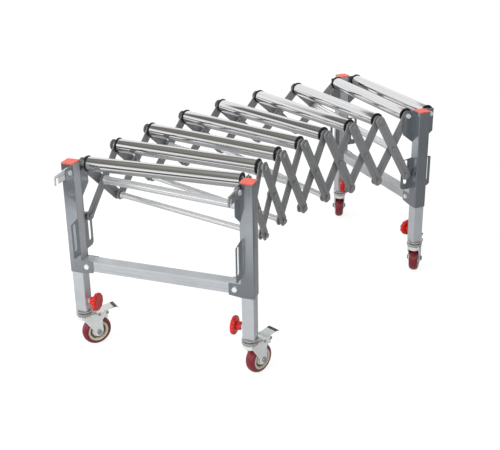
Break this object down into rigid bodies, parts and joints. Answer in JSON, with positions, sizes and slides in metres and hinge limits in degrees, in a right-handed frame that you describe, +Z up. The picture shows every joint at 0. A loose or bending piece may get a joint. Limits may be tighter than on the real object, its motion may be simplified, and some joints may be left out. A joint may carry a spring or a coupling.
{
  "type": "flexible roller table",
  "caption": "Flexible roller table: free rollers on a scissor frame that folds, between end frames with telescopic legs, clamp knobs and braked swivel casters.",
  "frame": {"origin": "on the floor, under the middle of the bounding box of the whole table as it stands in its curve", "axes": "+X along the front rollers to the right, +Y from the front frame back along the table, +Z up"},
  "size_m": [0.8422, 1.2528, 0.5483],
  "materials": {
    "leg_paint": "smooth silver grey powder coat",
    "bar_paint": "satin mid grey paint",
    "chrome": "bright chrome plate",
    "zinc": "bright zinc plate",
    "cap_red": "moulded plastic",
    "knob_red": "glossy moulded plastic",
    "tread": "cast polyurethane, satin"
  },
  "bodies": {
    "front_frame": {"front_leg_tubes": "leg_paint", "front_brackets": "leg_paint", "front_crossbar": "leg_paint", "front_caps": "cap_red", "front_fasteners": "zinc"},
    "outer_scissor_1": {"outer_bars_1": "bar_paint", "tie_tubes_1": "chrome"},
    "inner_scissor_1": {"inner_bars_1": "bar_paint"},
    "outer_scissor_2": {"outer_bars_2": "bar_paint", "tie_tube_2": "chrome"},
    "inner_scissor_2": {"inner_bars_2": "bar_paint"},
    "outer_scissor_3": {"outer_bars_3": "bar_paint", "tie_tube_3": "chrome"},
    "inner_scissor_3": {"inner_bars_3": "bar_paint"},
    "outer_scissor_4": {"outer_bars_4": "bar_paint", "tie_tube_4": "chrome"},
    "inner_scissor_4": {"inner_bars_4": "bar_paint"},
    "outer_scissor_5": {"outer_bars_5": "bar_paint"},
    "inner_scissor_5": {"inner_bars_5": "bar_paint"},
    "outer_scissor_6": {"outer_bars_6": "bar_paint"},
    "inner_scissor_6": {"inner_bars_6": "bar_paint"},
    "outer_scissor_7": {"outer_bars_7": "bar_paint", "tie_tube_7": "chrome"},
    "inner_scissor_7": {"inner_bars_7": "bar_paint"},
    "back_frame": {"back_leg_tubes": "leg_paint", "back_brackets": "leg_paint", "back_crossbar": "leg_paint", "back_caps": "cap_red", "back_fasteners": "zinc"},
    "roller_1": {"roller_1": "chrome"},
    "roller_2": {"roller_2": "chrome"},
    "roller_3": {"roller_3": "chrome"},
    "roller_4": {"roller_4": "chrome"},
    "roller_5": {"roller_5": "chrome"},
    "roller_6": {"roller_6": "chrome"},
    "roller_7": {"roller_7": "chrome"},
    "roller_8": {"roller_8": "chrome"},
    "roller_9": {"roller_9": "chrome"},
    "hook_left": {"hook_left": "zinc"},
    "hook_right": {"hook_right": "zinc"},
    "inner_leg_fl": {"inner_leg_fl": "leg_paint"},
    "knob_fl": {"knob_fl": "knob_red"},
    "caster_fork_fl": {"caster_fork_fl": "zinc"},
    "caster_wheel_fl": {"caster_wheel_fl": "tread"},
    "brake_pedal_fl": {"brake_pedal_fl": "zinc"},
    "inner_leg_fr": {"inner_leg_fr": "leg_paint"},
    "knob_fr": {"knob_fr": "knob_red"},
    "caster_fork_fr": {"caster_fork_fr": "zinc"},
    "caster_wheel_fr": {"caster_wheel_fr": "tread"},
    "brake_pedal_fr": {"brake_pedal_fr": "zinc"},
    "inner_leg_bl": {"inner_leg_bl": "leg_paint"},
    "knob_bl": {"knob_bl": "knob_red"},
    "caster_fork_bl": {"caster_fork_bl": "zinc"},
    "caster_wheel_bl": {"caster_wheel_bl": "tread"},
    "brake_pedal_bl": {"brake_pedal_bl": "zinc"},
    "inner_leg_br": {"inner_leg_br": "leg_paint"},
    "knob_br": {"knob_br": "knob_red"},
    "caster_fork_br": {"caster_fork_br": "zinc"},
    "caster_wheel_br": {"caster_wheel_br": "tread"},
    "brake_pedal_br": {"brake_pedal_br": "zinc"}
  },
  "joints": [
    {"name": "table_fold", "type": "hinge", "parent": "front_frame", "child": "outer_scissor_1", "pos_m": [-0.15781, -0.48645, 0.527], "axis": [1, 0, 0], "range_deg": [-17, 0.3]},
    {"name": "middle_pivot_1", "type": "hinge", "parent": "outer_scissor_1", "child": "inner_scissor_1", "pos_m": [-0.15395, -0.42107, 0.44343], "axis": [0.9972, -0.0588, -0.0462], "range_deg": [-1.1, 34.41]},
    {"name": "outer_pivot_2", "type": "hinge", "parent": "inner_scissor_1", "child": "outer_scissor_2", "pos_m": [-0.1501, -0.35568, 0.527], "axis": [0.9931, -0.1175, 0], "range_deg": [-34.38, 1.1]},
    {"name": "middle_pivot_2", "type": "hinge", "parent": "outer_scissor_2", "child": "inner_scissor_2", "pos_m": [-0.13858, -0.2912, 0.44343], "axis": [0.9834, -0.1756, -0.0462], "range_deg": [-1.09, 34.09]},
    {"name": "outer_pivot_3", "type": "hinge", "parent": "inner_scissor_2", "child": "outer_scissor_3", "pos_m": [-0.12707, -0.22672, 0.527], "axis": [0.9724, -0.2334, 0], "range_deg": [-34.01, 1.09]},
    {"name": "middle_pivot_3", "type": "hinge", "parent": "outer_scissor_3", "child": "inner_scissor_3", "pos_m": [-0.10805, -0.16404, 0.44343], "axis": [0.9559, -0.29, -0.0462], "range_deg": [-1.09, 33.78]},
    {"name": "outer_pivot_4", "type": "hinge", "parent": "inner_scissor_3", "child": "outer_scissor_4", "pos_m": [-0.08904, -0.10136, 0.527], "axis": [0.9382, -0.3461, 0], "range_deg": [-33.66, 1.09]},
    {"name": "middle_pivot_4", "type": "hinge", "parent": "outer_scissor_4", "child": "inner_scissor_4", "pos_m": [-0.06279, -0.04135, 0.44343], "axis": [0.9152, -0.4003, -0.0462], "range_deg": [-1.08, 33.49]},
    {"name": "outer_pivot_5", "type": "hinge", "parent": "inner_scissor_4", "child": "outer_scissor_5", "pos_m": [-0.03654, 0.01866, 0.527], "axis": [0.891, -0.454, 0], "range_deg": [-33.3, 1.08]},
    {"name": "middle_pivot_5", "type": "hinge", "parent": "outer_scissor_5", "child": "inner_scissor_5", "pos_m": [-0.00342, 0.07517, 0.44343], "axis": [0.8618, -0.5051, -0.0462], "range_deg": [-1.08, 33.21]},
    {"name": "outer_pivot_6", "type": "hinge", "parent": "inner_scissor_5", "child": "outer_scissor_6", "pos_m": [0.0297, 0.13168, 0.527], "axis": [0.8315, -0.5556, 0], "range_deg": [-32.96, 1.07]},
    {"name": "middle_pivot_6", "type": "hinge", "parent": "outer_scissor_6", "child": "inner_scissor_6", "pos_m": [0.06923, 0.1839, 0.44343], "axis": [0.7965, -0.6029, -0.0462], "range_deg": [-1.07, 32.93]},
    {"name": "outer_pivot_7", "type": "hinge", "parent": "inner_scissor_6", "child": "outer_scissor_7", "pos_m": [0.10877, 0.23613, 0.527], "axis": [0.7604, -0.6494, 0], "range_deg": [-32.61, 1.07]},
    {"name": "middle_pivot_7", "type": "hinge", "parent": "outer_scissor_7", "child": "inner_scissor_7", "pos_m": [0.15416, 0.28334, 0.44343], "axis": [0.7201, -0.6923, -0.0462], "range_deg": [-1.07, 32.65]},
    {"name": "back_frame_pivot", "type": "hinge", "parent": "inner_scissor_7", "child": "back_frame", "pos_m": [0.19956, 0.33056, 0.527], "axis": [0.6788, -0.7343, 0], "range_deg": [-17, 0.79]},
    {"name": "roller_1_spin", "type": "hinge", "parent": "front_frame", "child": "roller_1", "pos_m": [-0.15781, -0.48645, 0.527], "axis": [1, 0, 0], "continuous": true},
    {"name": "roller_2_spin", "type": "hinge", "parent": "inner_scissor_1", "child": "roller_2", "pos_m": [-0.1501, -0.35568, 0.527], "axis": [0.9931, -0.1175, 0], "continuous": true},
    {"name": "roller_3_spin", "type": "hinge", "parent": "inner_scissor_2", "child": "roller_3", "pos_m": [-0.12707, -0.22672, 0.527], "axis": [0.9724, -0.2334, 0], "continuous": true},
    {"name": "roller_4_spin", "type": "hinge", "parent": "inner_scissor_3", "child": "roller_4", "pos_m": [-0.08904, -0.10136, 0.527], "axis": [0.9382, -0.3461, 0], "continuous": true},
    {"name": "roller_5_spin", "type": "hinge", "parent": "inner_scissor_4", "child": "roller_5", "pos_m": [-0.03654, 0.01866, 0.527], "axis": [0.891, -0.454, 0], "continuous": true},
    {"name": "roller_6_spin", "type": "hinge", "parent": "inner_scissor_5", "child": "roller_6", "pos_m": [0.0297, 0.13168, 0.527], "axis": [0.8315, -0.5556, 0], "continuous": true},
    {"name": "roller_7_spin", "type": "hinge", "parent": "inner_scissor_6", "child": "roller_7", "pos_m": [0.10877, 0.23613, 0.527], "axis": [0.7604, -0.6494, 0], "continuous": true},
    {"name": "roller_8_spin", "type": "hinge", "parent": "back_frame", "child": "roller_8", "pos_m": [0.19956, 0.33056, 0.527], "axis": [0.6788, -0.7343, 0], "continuous": true},
    {"name": "roller_9_spin", "type": "hinge", "parent": "back_frame", "child": "roller_9", "pos_m": [0.25537, 0.38215, 0.527], "axis": [0.6788, -0.7343, 0], "continuous": true},
    {"name": "hook_left_swing", "type": "hinge", "parent": "front_frame", "child": "hook_left", "pos_m": [-0.38561, -0.56245, 0.527], "axis": [1, 0, 0], "range_deg": [-90, 90]},
    {"name": "hook_right_swing", "type": "hinge", "parent": "front_frame", "child": "hook_right", "pos_m": [0.06999, -0.56245, 0.527], "axis": [1, 0, 0], "range_deg": [-90, 90]},
    {"name": "leg_slide_fl", "type": "slide", "parent": "front_frame", "child": "inner_leg_fl", "axis": [0, 0, -1], "range_m": [0, 0.2]},
    {"name": "knob_turn_fl", "type": "hinge", "parent": "front_frame", "child": "knob_fl", "pos_m": [-0.39811, -0.52445, 0.143], "axis": [-1, 0, 0], "range_deg": [0, 720]},
    {"name": "caster_swivel_fl", "type": "hinge", "parent": "inner_leg_fl", "child": "caster_fork_fl", "pos_m": [-0.39811, -0.52445, 0.116], "axis": [0, 0, 1], "continuous": true},
    {"name": "wheel_spin_fl", "type": "hinge", "parent": "caster_fork_fl", "child": "caster_wheel_fl", "pos_m": [-0.37923, -0.50114, 0.041], "axis": [-0.7771, 0.6293, 0], "continuous": true},
    {"name": "brake_press_fl", "type": "hinge", "parent": "caster_fork_fl", "child": "brake_pedal_fl", "pos_m": [-0.37608, -0.49725, 0.094], "axis": [-0.7771, 0.6293, 0], "range_deg": [0, 7]},
    {"name": "leg_slide_fr", "type": "slide", "parent": "front_frame", "child": "inner_leg_fr", "axis": [0, 0, -1], "range_m": [0, 0.2]},
    {"name": "knob_turn_fr", "type": "hinge", "parent": "front_frame", "child": "knob_fr", "pos_m": [0.08249, -0.52445, 0.143], "axis": [1, 0, 0], "range_deg": [0, 720]},
    {"name": "caster_swivel_fr", "type": "hinge", "parent": "inner_leg_fr", "child": "caster_fork_fr", "pos_m": [0.08249, -0.52445, 0.116], "axis": [0, 0, 1], "continuous": true},
    {"name": "wheel_spin_fr", "type": "hinge", "parent": "caster_fork_fr", "child": "caster_wheel_fr", "pos_m": [0.0947, -0.49705, 0.041], "axis": [-0.9135, 0.4067, 0], "continuous": true},
    {"name": "brake_press_fr", "type": "hinge", "parent": "caster_fork_fr", "child": "brake_pedal_fr", "pos_m": [0.09673, -0.49248, 0.094], "axis": [-0.9135, 0.4067, 0], "range_deg": [0, 7]},
    {"name": "leg_slide_bl", "type": "slide", "parent": "back_frame", "child": "inner_leg_bl", "axis": [0, 0, -1], "range_m": [0, 0.2]},
    {"name": "knob_turn_bl", "type": "hinge", "parent": "back_frame", "child": "knob_bl", "pos_m": [0.06435, 0.53281, 0.143], "axis": [-0.6788, 0.7343, 0], "range_deg": [0, 720]},
    {"name": "caster_swivel_bl", "type": "hinge", "parent": "inner_leg_bl", "child": "caster_fork_bl", "pos_m": [0.06435, 0.53281, 0.116], "axis": [0, 0, 1], "continuous": true},
    {"name": "wheel_spin_bl", "type": "hinge", "parent": "caster_fork_bl", "child": "caster_wheel_bl", "pos_m": [0.05608, 0.56165, 0.041], "axis": [-0.9613, -0.2756, 0], "continuous": true},
    {"name": "brake_press_bl", "type": "hinge", "parent": "caster_fork_bl", "child": "brake_pedal_bl", "pos_m": [0.0547, 0.56646, 0.094], "axis": [-0.9613, -0.2756, 0], "range_deg": [0, 7]},
    {"name": "leg_slide_br", "type": "slide", "parent": "back_frame", "child": "inner_leg_br", "axis": [0, 0, -1], "range_m": [0, 0.2]},
    {"name": "knob_turn_br", "type": "hinge", "parent": "back_frame", "child": "knob_br", "pos_m": [0.39058, 0.17989, 0.143], "axis": [0.6788, -0.7343, 0], "range_deg": [0, 720]},
    {"name": "caster_swivel_br", "type": "hinge", "parent": "inner_leg_br", "child": "caster_fork_br", "pos_m": [0.39058, 0.17989, 0.116], "axis": [0, 0, 1], "continuous": true},
    {"name": "wheel_spin_br", "type": "hinge", "parent": "caster_fork_br", "child": "caster_wheel_br", "pos_m": [0.39058, 0.20989, 0.041], "axis": [-1, 0, 0], "continuous": true},
    {"name": "brake_press_br", "type": "hinge", "parent": "caster_fork_br", "child": "brake_pedal_br", "pos_m": [0.39058, 0.2149, 0.094], "axis": [-1, 0, 0], "range_deg": [0, 7]}
  ],
  "couplings": [
    {"joint": "middle_pivot_1", "follows": "table_fold", "ratio": -1.9946},
    {"joint": "outer_pivot_2", "follows": "table_fold", "ratio": 1.9932},
    {"joint": "middle_pivot_2", "follows": "table_fold", "ratio": -1.9756},
    {"joint": "outer_pivot_3", "follows": "table_fold", "ratio": 1.9714},
    {"joint": "middle_pivot_3", "follows": "table_fold", "ratio": -1.9578},
    {"joint": "outer_pivot_4", "follows": "table_fold", "ratio": 1.9503},
    {"joint": "middle_pivot_4", "follows": "table_fold", "ratio": -1.9408},
    {"joint": "outer_pivot_5", "follows": "table_fold", "ratio": 1.9297},
    {"joint": "middle_pivot_5", "follows": "table_fold", "ratio": -1.9243},
    {"joint": "outer_pivot_6", "follows": "table_fold", "ratio": 1.9094},
    {"joint": "middle_pivot_6", "follows": "table_fold", "ratio": -1.9078},
    {"joint": "outer_pivot_7", "follows": "table_fold", "ratio": 1.8889},
    {"joint": "middle_pivot_7", "follows": "table_fold", "ratio": -1.8909},
    {"joint": "back_frame_pivot", "follows": "table_fold", "ratio": 0.9707}
  ]
}
